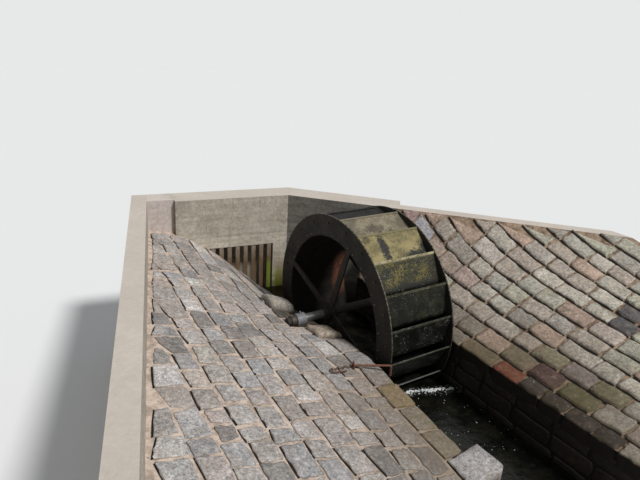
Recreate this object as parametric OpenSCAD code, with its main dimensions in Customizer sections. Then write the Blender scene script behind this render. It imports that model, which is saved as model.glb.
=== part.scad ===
// Overshot water wheel of iron in its masonry wheel pit.
// X runs along the shaft to the right, Y points upstream, Z is up.
// The origin lies on the underside of the pit floor, below the middle of the shaft.

/* [Wheel] */
// Outer radius of the wheel
wheel_r = 1200; // [1000:5:1400]
// Width of the wheel over both shrouds
wheel_w = 870; // [600:5:1100]
// Radial depth of the shroud rings
shroud_depth = 260; // [220:5:300]
// Thickness of a shroud ring
shroud_t = 12; // [8:1:20]
// Thickness of the sole plate that closes the buckets inside
sole_t = 8; // [5:1:12]
// Radius of the round-head bolts' pads on the shroud, at the bucket ends
pad_r = 16; // [10:1:22]
// Height of those pads
pad_h = 4; // [2:1:8]
// Distance of the pads from the rim
pad_inset = 95; // [60:5:130]

/* [Buckets] */
// Number of buckets
bucket_count = 20; // [16:1:24]
// Angle of the first lip from the top, towards downstream
first_lip = 2; // [0:0.5:10]
// Thickness of a bucket plate
bucket_t = 8; // [5:1:12]
// Depth of the lip's middle line below the rim
lip_inset = 18; // [14:1:30]
// Angle between the outer flat of a bucket and the rim
lip_angle = 23; // [18:1:28]
// Length of the outer flat
flat_len = 325; // [290:5:345]
// Bending radius of the elbow
elbow_r = 60; // [40:5:80]
// Angle between the inner flat of a bucket and the rim
root_angle = 81; // [75:1:88]
// Width of the stiffening bar along the lip
lip_w = 24; // [15:1:35]
// Thickness of that bar
lip_t = 8; // [4:1:10]

/* [Arms and shaft] */
// Number of arms on each side
arm_count = 4; // [3:1:6]
// Angle of the first arm from the top, towards downstream
first_arm = 18; // [0:1:45]
// Width of an arm at the rim
arm_w = 66; // [50:1:90]
// Width of an arm at the hub
arm_root_w = 92; // [70:1:110]
// Thickness of the arms
arm_t = 20; // [14:1:30]
// Radius of the disc that the arms grow from
spider_r = 120; // [105:1:150]
// Radius of the hub boss
hub_r = 85; // [75:1:95]
// Length of the hub boss
hub_len = 120; // [80:5:160]
// Radius of the shaft
shaft_r = 50; // [40:1:60]

/* [Bearings] */
// Outer radius of the bearing sleeve
sleeve_r = 75; // [70:1:90]
// Length of the bearing sleeve
sleeve_len = 114; // [90:1:140]
// Radial running clearance of the shaft
running_gap = 0.08; // [0.05:0.01:0.1]
// Distance from the pit face to the bearing sleeve
bearing_setback = 240; // [200:5:280]
// Gap between the sleeve and the end collar
collar_gap = 6; // [5:1:12]
// Length of the end collar
collar_len = 60; // [40:1:90]
// Radius of the end collar
collar_r = 64; // [62:1:74]
// Length of shaft that stands out of the collar
shaft_stub = 48; // [20:1:80]
// Height of the bearing bed under the sleeve
bed_t = 26; // [15:1:40]
// Half width of the bearing bed
bed_half = 98; // [90:1:110]
// Depth of the bed's top below the shaft's middle
saddle_drop = 42; // [30:1:60]
// Radius of the grease cup on the sleeve
cup_r = 9; // [6:1:12]
// Height of the grease cup
cup_h = 30; // [20:1:40]

/* [Wheel pit] */
// Gap between the wheel's side and the pit face
side_gap = 105; // [60:5:150]
// Gap between the wheel's foot and the pit floor
foot_gap = 100; // [40:5:200]
// Thickness of the pit floor
floor_t = 150; // [100:5:250]
// Distance from the rim to the headwall
head_gap = 708; // [550:5:850]
// Length of the tail race below the wheel
race_len = 2120; // [1500:10:2600]
// Height of the kerbs above the shaft
kerb_rise = 900; // [800:5:1000]
// Thickness of the headwall and the return wall
wall_t = 400; // [350:10:500]
// Angle of the headwall to the shaft
head_skew = 9; // [5:1:12]
// Angle of the return wall and the right kerb to the shaft
return_skew = 45; // [42:1:50]
// Angle of the left kerb to the tail race
kerb_skew = 15; // [10:1:18]
// Thickness of the kerbs
kerb_t = 200; // [150:10:300]
// Masonry that backs the end of the shaft
end_margin = 32; // [25:1:80]
// Open joint between neighbouring walls
wall_joint = 0.4; // [0.3:0.1:0.8]
// Width of the pier at the left end of the headwall
pier_w = 370; // [300:10:450]
// Depth of the pier's face behind the headwall's face
pier_step = 75; // [50:5:100]

/* [Banks] */
// Distance from the left pit wall to the left kerb at the headwall
left_reach = 935; // [800:5:1100]
// Height of the left bank at the kerb, above the shaft
left_top = 480; // [400:5:560]
// Depth of the left pit edge below the shaft, where it is highest
left_edge_drop = 36; // [30:1:60]
// Distance of that highest point from the shaft, downstream
crest_offset = 840; // [700:10:1000]
// Fall of the left pit edge towards the headwall
fall_up = 0.15; // [0.1:0.01:0.2]
// Fall of the left pit edge towards the tail race
fall_down = 0.1; // [0.05:0.01:0.15]
// Swell of the left bank at the headwall
bank_swell = 216; // [150:2:260]
// Depth of the right pit edge below the shaft
right_edge_drop = 50; // [30:1:90]
// Distance from the right pit wall to the foot of the right kerb
right_start = 98; // [60:2:140]
// Length of the right kerb, across the pit
right_reach = 2162; // [1800:2:2400]

/* [Sluice grate] */
// Distance from the return wall's corner to the opening
opening_inset = 215; // [150:5:300]
// Width of the opening
opening_w = 960; // [800:10:1100]
// Height of the opening's top above the shaft
opening_top = 160; // [100:5:200]
// Height of the opening's sill above the pit floor
sill_h = 260; // [150:5:400]
// Depth of the recess behind the opening
recess_depth = 320; // [250:5:340]
// Number of bars in the grate
bar_count = 8; // [7:1:10]
// Width of a bar
bar_w = 60; // [40:1:70]
// Thickness of a bar
bar_t = 12; // [8:1:16]
// Depth of the bars behind the face of the wall
bar_setback = 6; // [5:1:20]

/* [Retaining rod] */
// Distance of the rod from the shaft, downstream
rod_offset = 1095; // [1000:5:1150]
// Radius of the rod
rod_r = 11; // [8:1:14]
// Length of the rod on the bank, from the pit face
rod_reach = 330; // [280:5:360]
// Overhang of the rod past the pit face
rod_overhang = 40; // [30:1:50]
// Turn of the rod in plan from square across the pit face, towards downstream
rod_turn = 27; // [0:1:35]
// Length of the rod's end that hangs into the pit
rod_drop = 120; // [80:5:160]
// Bending radius of the rod
rod_bend = 26; // [20:1:32]
// Thickness of the plate that holds the rod
plate_t = 12; // [8:1:16]
// Width of that plate
plate_w = 76; // [60:1:90]
// Height of the rod above the bank at its plate
rod_rise = 32; // [24:1:45]
// Height of that plate's top above the rod's middle
plate_rise = 34; // [28:1:50]

/* [Hidden] */

axle_h = floor_t + foot_gap + wheel_r;
sole_r = wheel_r - shroud_depth;
sole_out = sole_r + sole_t;
inner_w = wheel_w - 2 * shroud_t;
pitch = 360 / bucket_count;
elbow_steps = 6;
cut = 1;

pit_half = wheel_w / 2 + side_gap;
bearing_x = pit_half + bearing_setback;
collar_x = bearing_x + sleeve_len + collar_gap;
shaft_end = collar_x + collar_len + shaft_stub;
pit_outer = shaft_end + end_margin;
kerb_z = axle_h + kerb_rise;
race_end = wheel_r + race_len;
head_y = wheel_r + head_gap;
bank_rows = 12;
bank_columns = 5;

// Corners of the plan: the headwall runs from head_left to head_right
head_dir = [cos(head_skew), -sin(head_skew)];
head_out = [sin(head_skew), cos(head_skew)];
return_dir = [cos(return_skew), -sin(return_skew)];
return_out = [sin(return_skew), cos(return_skew)];
kerb_dir = [sin(kerb_skew), cos(kerb_skew)];
head_right = [0, head_y];
head_left = head_right - head_dir * (pit_outer + left_reach) / cos(head_skew);
head_back_right = head_right
    + (head_out + return_out) * wall_t / (1 + head_out * return_out);
kerb_meet = cos(kerb_skew - head_skew);
head_back_left = head_left + kerb_dir * wall_t / kerb_meet;
return_end = head_right + return_dir * (pit_outer + right_start) / return_dir.x;
right_limit = return_end.x + right_reach;
right_kerb_end = head_right + return_dir * right_limit / return_dir.x;
left_kerb_end = head_left - kerb_dir * (head_left.y + race_end) / kerb_dir.y;

// Lines of the plan, as functions of the other coordinate
function head_line(x) = head_y - x * tan(head_skew);
function left_kerb_x(y) = head_left.x - (head_left.y - y) * tan(kerb_skew);
function right_kerb_x(y) = (head_y - y) / tan(return_skew);
function beside_head(x) = head_line(x) - wall_joint / cos(head_skew);
kerb_gap = [wall_joint / kerb_dir.y, 0];
pier_edge = head_left + head_dir * pier_w;
pier_slant = kerb_dir / kerb_meet;
pier_lap = 60;
pier_drop = 4;

// Heights of the two banks
function left_edge_z(y) = axle_h - left_edge_drop
    - (y > -crest_offset ? fall_up : fall_down) * abs(y + crest_offset);
function left_share(x, y) = (x + pit_half) / (left_kerb_x(y) + pit_half);
function left_swell(y) = bank_swell * max(0, y) / head_line(-pit_half);
function left_top_z(x, y) = let (s = left_share(x, y), e = left_edge_z(y))
    e + (axle_h + left_top - e) * s + left_swell(y) * 4 * s * (1 - s);
function right_top_z(x, y) = let (e = axle_h - right_edge_drop)
    e + (kerb_z - e) * (x - pit_half) / (right_kerb_x(y) - pit_half);

// Pairs of plan points, one pair for each row of a bank from the race's end upstream
function mix(a, b, s) = a + (b - a) * s;
function left_row(x_in, far_out, near_out, s) = [
    mix([x_in, -race_end], [x_in, beside_head(x_in)], s), mix(near_out, far_out, s)
];
left_wall_rows = [for (i = [0:bank_rows]) left_row(-pit_half,
    [-pit_outer, beside_head(-pit_outer)], [-pit_outer, -race_end], i / bank_rows)];
bank_corner = head_left - head_out * wall_joint;
left_bank_rows = [for (i = [0:bank_rows]) left_row(-pit_outer,
    bank_corner, left_kerb_end, i / bank_rows)];
pier_rows = [for (s = [-pier_lap, pier_step]) [
    bank_corner + head_dir * (pier_w - wall_joint) + head_out * s,
    bank_corner + head_dir * wall_joint + pier_slant * s
]];
right_ys = concat(
    [for (i = [0:3]) mix(-race_end, right_kerb_end.y, i / 4)],
    [for (i = [0:8]) mix(right_kerb_end.y, return_end.y, i / 8)]);
right_wall_rows = [for (y = right_ys) [[pit_half, y], [pit_outer, y]]];
right_bank_rows = [for (y = right_ys)
    [[pit_outer, y], [min(right_limit, right_kerb_x(y)) - wall_joint, y]]];

// Middle line of a bucket plate: distance along the rim, depth, and direction
elbow_start = [flat_len * cos(lip_angle), lip_inset + flat_len * sin(lip_angle)];
function elbow_point(a) = elbow_start
    + elbow_r * [sin(a) - sin(lip_angle), cos(lip_angle) - cos(a)];
elbow_end = elbow_point(root_angle);
root_run = shroud_depth + 2 * sole_t + 30 - elbow_end.y;
bucket_line = concat(
    [[0, lip_inset, lip_angle]],
    [for (i = [0:elbow_steps]) let (
        a = mix(lip_angle, root_angle, i / elbow_steps),
        p = elbow_point(a)
    ) [p.x, p.y, a]],
    [[elbow_end.x + root_run / tan(root_angle), elbow_end.y + root_run, root_angle]]);

// A point of that line, moved square to it and put on the wheel's section
function beside(p, d) = [-(p.x - d * sin(p.z)), wheel_r - (p.y + d * cos(p.z))];

// Puts a section drawn in Y and Z across the wheel
module across(width) {
    rotate([90, 0, 90])
        translate([0, 0, -width / 2])
            linear_extrude(width)
                children();
}

// A cylinder along X, centred on x
module along_x(r, length, x = 0) {
    translate([x, 0, 0])
        rotate([0, 90, 0])
            cylinder(h = length, r = r, center = true, $fn = 96);
}

// Places what stands at the left end, and its mirror image at the right end
module side(right) {
    translate([0, 0, axle_h])
        mirror([right ? 1 : 0, 0, 0])
            children();
}

module shroud(right) {
    color([0.13, 0.12, 0.10])
        side(right)
            difference() {
                union() {
                    along_x(wheel_r, shroud_t, -(wheel_w - shroud_t) / 2);
                    for (i = [0:bucket_count - 1])
                        rotate([first_lip + (i + 0.5) * pitch, 0, 0])
                            translate([-wheel_w / 2 - pad_h, 0, wheel_r - pad_inset])
                                rotate([0, 90, 0])
                                    cylinder(h = pad_h + cut, r = pad_r, $fn = 24);
                }
                along_x(sole_r, 2 * wheel_w);
            }
}

module sole_plate() {
    color([0.35, 0.18, 0.10])
        side(false)
            difference() {
                along_x(sole_out, inner_w);
                along_x(sole_r, inner_w + cut);
            }
}

module bucket_section() {
    outer = [for (p = bucket_line) beside(p, -bucket_t / 2)];
    inner = [for (p = bucket_line) beside(p, bucket_t / 2)];
    last = len(bucket_line) - 1;
    lip = bucket_line[0];
    lip_end = [lip.x + lip_w * cos(lip.z), lip.y + lip_w * sin(lip.z), lip.z];
    lip_face = -bucket_t / 2 - lip_t;
    polygon(concat(
        [beside(lip, lip_face), beside(lip_end, lip_face), beside(lip_end, -bucket_t / 2)],
        [for (i = [1:last]) outer[i]],
        [for (i = [0:last]) inner[last - i]]));
}

module bucket(number) {
    color(number < 3 ? [0.55, 0.52, 0.36] : [0.12, 0.14, 0.09])
        side(false)
            rotate([first_lip + (number - 1) * pitch, 0, 0])
                difference() {
                    across(inner_w) bucket_section();
                    along_x(sole_out, wheel_w);
                }
}

module arms(right) {
    color([0.12, 0.11, 0.10])
        side(right)
            intersection() {
                difference() {
                    union() {
                        along_x(spider_r, arm_t, -(wheel_w - arm_t) / 2);
                        for (i = [0:arm_count - 1])
                            rotate([first_arm + i * 360 / arm_count, 0, 0])
                                translate([-(wheel_w - arm_t) / 2, 0, 0])
                                    across(arm_t)
                                        polygon([
                                            [-arm_root_w / 2, hub_r / 2],
                                            [arm_root_w / 2, hub_r / 2],
                                            [arm_w / 2, wheel_r],
                                            [-arm_w / 2, wheel_r]
                                        ]);
                    }
                    along_x(hub_r, 2 * wheel_w);
                }
                along_x(sole_r, 2 * wheel_w);
            }
}

module hub(right) {
    color([0.14, 0.12, 0.11])
        side(right)
            difference() {
                along_x(hub_r, hub_len, -(wheel_w - arm_t) / 2);
                along_x(shaft_r, 2 * wheel_w);
            }
}

module shaft() {
    color([0.45, 0.42, 0.38])
        side(false)
            along_x(shaft_r, 2 * shaft_end);
}

module collar(right) {
    color([0.28, 0.20, 0.15])
        side(right)
            difference() {
                along_x(collar_r, collar_len, -collar_x - collar_len / 2);
                along_x(shaft_r, 3 * shaft_end);
            }
}

module bearing(right) {
    color([0.55, 0.58, 0.60])
        side(right)
            difference() {
                union() {
                    along_x(sleeve_r, sleeve_len, -bearing_x - sleeve_len / 2);
                    translate([-bearing_x - sleeve_len / 2, 0, 0])
                        cylinder(h = sleeve_r + cup_h, r = cup_r, $fn = 32);
                }
                along_x(shaft_r + running_gap, 3 * shaft_end);
            }
}

module bearing_bed(right) {
    color([0.22, 0.21, 0.20])
        side(right)
            difference() {
                translate([-bearing_x - sleeve_len, -bed_half, -sleeve_r - bed_t])
                    cube([sleeve_len, 2 * bed_half, sleeve_r + bed_t - saddle_drop]);
                along_x(sleeve_r, 3 * shaft_end);
            }
}

// Slot in a pit wall for the shaft, its bearing and its end
module bearing_slot(right) {
    slot_half = bed_half + 12;
    side(right)
        translate([-pit_outer + end_margin / 2, -slot_half, -sleeve_r - bed_t])
            cube([pit_outer - pit_half + cut, 2 * slot_half, 2 * kerb_rise]);
}

// A block of masonry with a curved top, between the two ends of each row
module banked_block(rows, top, columns) {
    grid = [for (row = rows) [for (j = [0:columns]) mix(row[0], row[1], j / columns)]];
    last = len(rows) - 1;
    width = columns + 1;
    layer = len(rows) * width;
    tops = [for (line = grid) for (p = line) [p.x, p.y, top(p.x, p.y)]];
    feet = [for (line = grid) for (p = line) [p.x, p.y, 0]];
    quads = [for (i = [0:last - 1]) for (j = [0:columns - 1]) i * width + j];
    rim = concat(
        [for (j = [0:columns]) j],
        [for (i = [1:last]) i * width + columns],
        [for (j = [1:columns]) last * width + columns - j],
        [for (i = [1:last - 1]) (last - i) * width]);
    corners = len(rim);
    faces = concat(
        [for (q = quads) [q, q + 1, q + width + 1]],
        [for (q = quads) [q, q + width + 1, q + width]],
        [for (q = quads) [layer + q, layer + q + width + 1, layer + q + 1]],
        [for (q = quads) [layer + q, layer + q + width, layer + q + width + 1]],
        [for (k = [0:corners - 1]) let (a = rim[k], b = rim[(k + 1) % corners])
            [a, layer + a, layer + b, b]]);
    polyhedron(concat(tops, feet), faces);
}

module left_pit_wall() {
    color([0.45, 0.42, 0.40])
        difference() {
            banked_block(left_wall_rows, function (x, y) left_top_z(x, y), 2);
            bearing_slot(false);
        }
}

module right_pit_wall() {
    color([0.45, 0.42, 0.40])
        difference() {
            mirror([1, 0, 0])
                banked_block([for (r = right_wall_rows) [[-r[0].x, r[0].y], [-r[1].x, r[1].y]]],
                    function (x, y) right_top_z(-x, y), 2);
            bearing_slot(true);
        }
}

module left_bank() {
    color([0.52, 0.48, 0.46]) {
        banked_block(left_bank_rows, function (x, y) left_top_z(x, y), bank_columns);
        banked_block(pier_rows, function (x, y) left_top_z(x, y) - pier_drop, 2);
    }
}

module right_bank() {
    color([0.52, 0.48, 0.46])
        mirror([1, 0, 0])
            banked_block([for (r = right_bank_rows) [[-r[0].x, r[0].y], [-r[1].x, r[1].y]]],
                function (x, y) right_top_z(-x, y), bank_columns);
}

module left_kerb() {
    color([0.60, 0.55, 0.48])
        linear_extrude(kerb_z)
            polygon([
                head_back_left - kerb_gap,
                head_back_left - head_dir * kerb_t / kerb_meet,
                left_kerb_end - [kerb_t / kerb_dir.y, 0],
                left_kerb_end - kerb_gap
            ]);
}

module right_kerb() {
    color([0.60, 0.55, 0.48])
        linear_extrude(kerb_z)
            polygon([
                return_end + return_dir * wall_joint,
                return_end + return_dir * wall_joint + return_out * kerb_t,
                right_kerb_end + [0, kerb_t / return_dir.x],
                right_kerb_end
            ]);
}

// Moves to the return wall's corner, with X along the headwall and Y into it
module at_headwall() {
    translate([head_right.x, head_right.y, 0])
        rotate([0, 0, -head_skew])
            children();
}

sill_z = floor_t + sill_h;
opening_h = axle_h + opening_top - sill_z;

module headwall() {
    color([0.58, 0.56, 0.52])
        difference() {
            linear_extrude(kerb_z)
                polygon([
                    head_left + pier_slant * pier_step, pier_edge + head_out * pier_step,
                    pier_edge, head_right, head_back_right, head_back_left
                ]);
            at_headwall()
                translate([-opening_inset - opening_w, -cut, sill_z])
                    cube([opening_w, recess_depth + cut, opening_h]);
        }
}

module return_wall() {
    gap = head_dir * wall_joint;
    color([0.48, 0.47, 0.45])
        linear_extrude(kerb_z)
            polygon([
                head_right + gap, return_end, return_end + return_out * wall_t,
                head_back_right + gap
            ]);
}

module sluice_grate() {
    spacing = opening_w / bar_count;
    color([0.30, 0.24, 0.18])
        at_headwall()
            for (i = [0:bar_count - 1])
                translate([
                    -opening_inset - opening_w + (i + 0.5) * spacing - bar_w / 2,
                    bar_setback, sill_z
                ])
                    cube([bar_w, bar_t, opening_h]);
}

module pit_floor() {
    corner = head_right
        - (head_out + return_out) * wall_joint / (1 + head_out * return_out);
    color([0.30, 0.30, 0.28])
        linear_extrude(floor_t)
            polygon([
                [-pit_half, -race_end], [pit_half, -race_end], [pit_half, return_end.y],
                [return_end.x - 2 * wall_joint, return_end.y], corner,
                [-pit_half, beside_head(-pit_half)]
            ]);
}

plate_x = -pit_half - rod_reach + 2 * plate_t;
rod_z = left_top_z(plate_x, -rod_offset) + rod_rise;

rod_run = (rod_reach + rod_overhang) / cos(rod_turn);

// Puts the rod's own line, from its free end along X, in its place on the bank
module rod_place() {
    translate([-pit_half - rod_reach, -rod_offset, rod_z])
        rotate([0, 0, -rod_turn])
            children();
}

module retaining_rod() {
    color([0.38, 0.16, 0.10])
        rod_place() {
            rotate([0, 90, 0])
                cylinder(h = rod_run - rod_bend, r = rod_r, $fn = 32);
            translate([rod_run - rod_bend, 0, -rod_bend])
                rotate([90, 0, 0])
                    rotate_extrude(angle = 90, $fn = 48)
                        translate([rod_bend, 0])
                            circle(r = rod_r, $fn = 32);
            translate([rod_run, 0, -rod_drop])
                cylinder(h = rod_drop - rod_bend, r = rod_r, $fn = 32);
        }
}

module rod_plate() {
    color([0.34, 0.15, 0.10])
        difference() {
            rod_place()
                translate([2 * plate_t, -plate_w / 2, -2 * rod_rise])
                    cube([plate_t, plate_w, 2 * rod_rise + plate_rise]);
            rod_place()
                translate([2 * plate_t - cut, 0, 0])
                    rotate([0, 90, 0])
                        cylinder(h = plate_t + 2 * cut, r = rod_r, $fn = 32);
            banked_block(left_wall_rows, function (x, y) left_top_z(x, y), 2);
        }
}

shroud(false);  // left_shroud
shroud(true);  // right_shroud
sole_plate();
arms(false);  // left_arms
arms(true);  // right_arms
hub(false);  // left_hub
hub(true);  // right_hub
shaft();
collar(false);  // left_collar
collar(true);  // right_collar
bucket(1);  // bucket_01
bucket(2);  // bucket_02
bucket(3);  // bucket_03
bucket(4);  // bucket_04
bucket(5);  // bucket_05
bucket(6);  // bucket_06
bucket(7);  // bucket_07
bucket(8);  // bucket_08
bucket(9);  // bucket_09
bucket(10);  // bucket_10
bucket(11);  // bucket_11
bucket(12);  // bucket_12
bucket(13);  // bucket_13
bucket(14);  // bucket_14
bucket(15);  // bucket_15
bucket(16);  // bucket_16
bucket(17);  // bucket_17
bucket(18);  // bucket_18
bucket(19);  // bucket_19
bucket(20);  // bucket_20
bearing(false);  // left_bearing
bearing(true);  // right_bearing
bearing_bed(false);  // left_bearing_bed
bearing_bed(true);  // right_bearing_bed
pit_floor();
left_pit_wall();
right_pit_wall();
left_bank();
right_bank();
left_kerb();
right_kerb();
headwall();
return_wall();
sluice_grate();
rod_plate();
retaining_rod();
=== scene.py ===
"""Looks for the water wheel and its masonry pit. Metres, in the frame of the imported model."""

import math
import random

import bpy
from mathutils import Matrix, Vector, noise
from mathutils.bvhtree import BVHTree


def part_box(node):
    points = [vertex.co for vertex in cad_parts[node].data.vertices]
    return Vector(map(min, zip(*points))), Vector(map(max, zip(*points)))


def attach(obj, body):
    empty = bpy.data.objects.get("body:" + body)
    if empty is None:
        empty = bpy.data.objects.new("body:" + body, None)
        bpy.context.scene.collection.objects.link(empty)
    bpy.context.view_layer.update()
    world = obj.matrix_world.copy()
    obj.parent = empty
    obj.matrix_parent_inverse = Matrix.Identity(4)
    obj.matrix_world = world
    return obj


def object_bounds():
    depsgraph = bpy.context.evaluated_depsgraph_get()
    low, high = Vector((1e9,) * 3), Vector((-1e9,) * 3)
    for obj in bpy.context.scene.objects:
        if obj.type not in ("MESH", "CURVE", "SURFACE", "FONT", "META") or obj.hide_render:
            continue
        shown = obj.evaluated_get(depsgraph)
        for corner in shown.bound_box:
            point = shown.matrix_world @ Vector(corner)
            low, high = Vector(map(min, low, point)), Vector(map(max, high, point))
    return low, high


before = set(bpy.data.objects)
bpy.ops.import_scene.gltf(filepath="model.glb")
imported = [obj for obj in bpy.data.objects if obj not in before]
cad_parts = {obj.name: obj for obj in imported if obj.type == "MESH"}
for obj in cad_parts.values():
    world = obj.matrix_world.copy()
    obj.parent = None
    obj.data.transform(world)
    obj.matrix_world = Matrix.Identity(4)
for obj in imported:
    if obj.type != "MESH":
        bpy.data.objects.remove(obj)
cad_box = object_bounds()

# Main measures of the pit and the wheel, as in the model's source
AXLE = Vector((0.0, 0.0, 1.45))
WHEEL_R = 1.2
WHEEL_HALF = 0.435
SOLE_IN = 0.94
BUCKETS = 20
FIRST_LIP = 2.0
LIP_ANGLE = math.radians(23)
PAD_RADIUS = 1.105
PAD_FACE = 0.439
PIT_HALF = 0.54
PIT_OUTER = 1.04
SLOT_HALF = 0.13
SLOT = (-SLOT_HALF, SLOT_HALF)
HEAD_Y = 1.908
HEAD_LEFT = Vector((-1.975, 2.221))
HEAD_SKEW = math.radians(9)
KERB_SKEW = math.radians(15)
RETURN_SKEW = math.radians(45)
RACE_END = 3.32
RIGHT_LIMIT = 3.3
RETURN_END_Y = 0.77
PIER_RIGHT_X = -1.61
LAST_BAR_X = -0.27
UP = Vector((0, 0, 1))

# Levels and lines read off the photograph
WATER_Z = 0.886
LEDGE_Z = 1.785
FROTH_Y = -1.085
FROTH_SLANT = 0.36

# How far pieces stay inside the model's box, stones off a wall and off the ends of a bank, how far
# the coping juts over the pit, how deep its sides reach, and the step that keeps a point off an edge
EDGE = 0.006
WALL_JOINT = 0.012
END_JOINT = 0.008
OVERHANG = 0.012
DEEP_SKIRT = 0.14
WITHIN = 0.003

# Camera and light
CAMERA_AT = (-3.6513, -4.7021, 4.5449)
CAMERA_YAW, CAMERA_PITCH, CAMERA_ROLL = (math.radians(turn) for turn in (32.765, 20.866, 3.588))
CAMERA_LENS = 29.87
SUN_TOWARDS = Vector((0.243, -0.589, 0.771)).normalized()
KEY_LEVEL = 0.92
SKY_LEVEL = 0.34
SKY_COLOUR = (0.93, 0.96, 1.0)
FLOOR_TONE = 0.78


def rgb(red, green, blue):
    """A colour as a photograph shows it, from 0 to 255, turned into scene values."""
    def linear(c):
        c /= 255.0
        return c / 12.92 if c <= 0.04045 else ((c + 0.055) / 1.055) ** 2.4
    return (linear(red), linear(green), linear(blue), 1.0)


def head_line(x):
    return HEAD_Y - x * math.tan(HEAD_SKEW)


def left_kerb_x(y):
    return HEAD_LEFT.x - (HEAD_LEFT.y - y) * math.tan(KERB_SKEW)


def right_kerb_x(y):
    return min(RIGHT_LIMIT, (HEAD_Y - y) / math.tan(RETURN_SKEW))


def mix(a, b, share):
    return a + (b - a) * share


class Shader:
    """A node material, with short calls for the nodes used below. Its colours are given as a
    photograph shows them, red, green and blue from 0 to 255, and self.colour is the one so far."""

    def __init__(self, name, roughness, specular, metallic=0.0):
        self.material = bpy.data.materials.new(name)
        self.material.use_nodes = True
        self.tree = self.material.node_tree
        self.tree.nodes.clear()
        self.surface = self.add("BsdfPrincipled", {
            "Roughness": roughness, "Metallic": metallic, "Specular IOR Level": specular})
        self.add("OutputMaterial", {"Surface": self.surface.outputs[0]})
        self.place = self.add("TexCoord").outputs["Object"]
        self.normal = self.colour = None

    def put(self, socket, value):
        if isinstance(value, bpy.types.NodeSocket):
            self.tree.links.new(value, socket)
        elif value is not None:
            socket.default_value = rgb(*value) if socket.type == "RGBA" and len(value) == 3 else value

    def add(self, kind, values=None):
        """A node, with numbers, colours or sockets for some of its inputs."""
        node = self.tree.nodes.new("ShaderNode" + kind)
        for key, value in (values or {}).items():
            self.put(node.inputs[key], value)
        return node

    def stretch(self, x, y, z):
        return self.add("Mapping", {"Vector": self.place, "Scale": (x, y, z)}).outputs[0]

    def noise(self, scale, detail=4.0, roughness=0.55, place=None):
        return self.add("TexNoise", {"Vector": place or self.place, "Scale": scale, "Detail": detail,
                                     "Roughness": roughness}).outputs[0]

    def cells(self, scale):
        return self.add("TexVoronoi", {"Vector": self.place, "Scale": scale}).outputs["Distance"]

    def calc(self, operation, a, b=None):
        node = self.add("Math", {0: a, 1: b})
        node.operation = operation
        return node.outputs[0]

    def times(self, first, *others):
        for other in others:
            first = self.calc("MULTIPLY", first, other)
        return first

    def away(self, value, middle=None):
        """How far a value lies from the middle, to either side."""
        return self.calc("ABSOLUTE", value if middle is None else self.calc("SUBTRACT", value, middle))

    def length(self, a, b):
        return self.calc("SQRT", self.calc("ADD", self.times(a, a), self.times(b, b)))

    def step(self, value, low, high, first=0.0, last=1.0):
        """Goes from first to last as the value goes from low to high."""
        return self.add("MapRange", {"Value": value, "From Min": low, "From Max": high,
                                     "To Min": first, "To Max": last}).outputs[0]

    def blend(self, share, a, b, kind="MIX"):
        node = self.add("Mix")
        node.data_type = "RGBA"
        node.blend_type = kind
        for key, value in ((0, share), (6, a), (7, b)):
            self.put(node.inputs[key], value)
        return node.outputs[2]

    def shade(self, colour, amount):
        """A colour times amount, where amount is 1 for no change."""
        grey = self.add("CombineColor", {0: amount, 1: amount, 2: amount})
        return self.blend(1.0, colour, grey.outputs[0], "MULTIPLY")

    def mottled(self, colour, field, half, low, high):
        """A colour shaded from low to high as a noise goes from half under 0.5 to half over it."""
        return self.shade(colour, self.step(field, 0.5 - half, 0.5 + half, low, high))

    def mottle(self, *how):
        self.colour = self.mottled(self.colour, *how)

    def cover(self, colour, *masks):
        """Puts a colour over the one so far, by the product of the masks."""
        self.colour = self.blend(self.times(*masks), self.colour, colour)

    def parts(self, vector=None):
        return self.add("SeparateXYZ", {0: vector or self.place}).outputs[:]

    def facing(self):
        return self.parts(self.add("NewGeometry").outputs["True Normal"])

    def tint(self):
        """A stone's own colour, and how high a spot lies on it, from -1 to 1."""
        node = self.add("VertexColor")
        node.layer_name = "tint"
        return node.outputs["Color"], self.step(node.outputs["Alpha"], 0.0, 1.0, -1.0, 1.0)

    def bump(self, height, depth, strength):
        node = self.add("Bump", {"Strength": strength, "Distance": depth, "Height": height,
                                 "Normal": self.normal})
        self.normal = node.outputs[0]

    def finish(self, roughness=None):
        for key, value in (("Base Color", self.colour), ("Roughness", roughness), ("Normal", self.normal)):
            self.put(self.surface.inputs[key], value)
        return self.material

    def radius(self):
        """Distance from the wheel's axis."""
        y, z = self.parts()[1:]
        return self.length(y, self.calc("SUBTRACT", z, AXLE.z))

    def beside_race(self):
        """The part of the banks next to the tail race, where dirt gathers."""
        x, y = self.parts()[:2]
        return self.times(self.step(self.away(x), 1.7, 0.9), self.step(y, -0.7, -1.6))

    def towards_pit(self):
        """The faces of the headwall and of the return wall that look into the pit."""
        x, y = self.parts()[:2]
        skewed = self.calc("ADD", y, self.times(x, math.tan(HEAD_SKEW)))
        return self.times(self.calc("LESS_THAN", skewed, HEAD_Y + 0.05),
                          self.calc("LESS_THAN", self.calc("ADD", x, y), HEAD_Y + 0.05))

    def courses(self, length, height, joint):
        """Coursed blocks on any upright face: the joint's mask and a number for each block."""
        x, y, z = self.parts()
        nx, ny = self.facing()[:2]
        along = self.calc("SUBTRACT", self.times(y, nx), self.times(x, ny))
        wobble = self.step(self.noise(3.0, 2.0), 0.0, 1.0, -0.02, 0.02)
        place = self.add("CombineXYZ", {0: self.calc("ADD", along, wobble), 1: self.calc("ADD", z, wobble)})
        node = self.add("TexBrick", {
            "Vector": place.outputs[0], "Color1": (0, 0, 0), "Color2": (255, 255, 255), "Scale": 1.0,
            "Mortar Size": joint, "Mortar Smooth": 0.4, "Brick Width": length, "Row Height": height})
        return node.outputs["Fac"], node.outputs["Color"]


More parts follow.
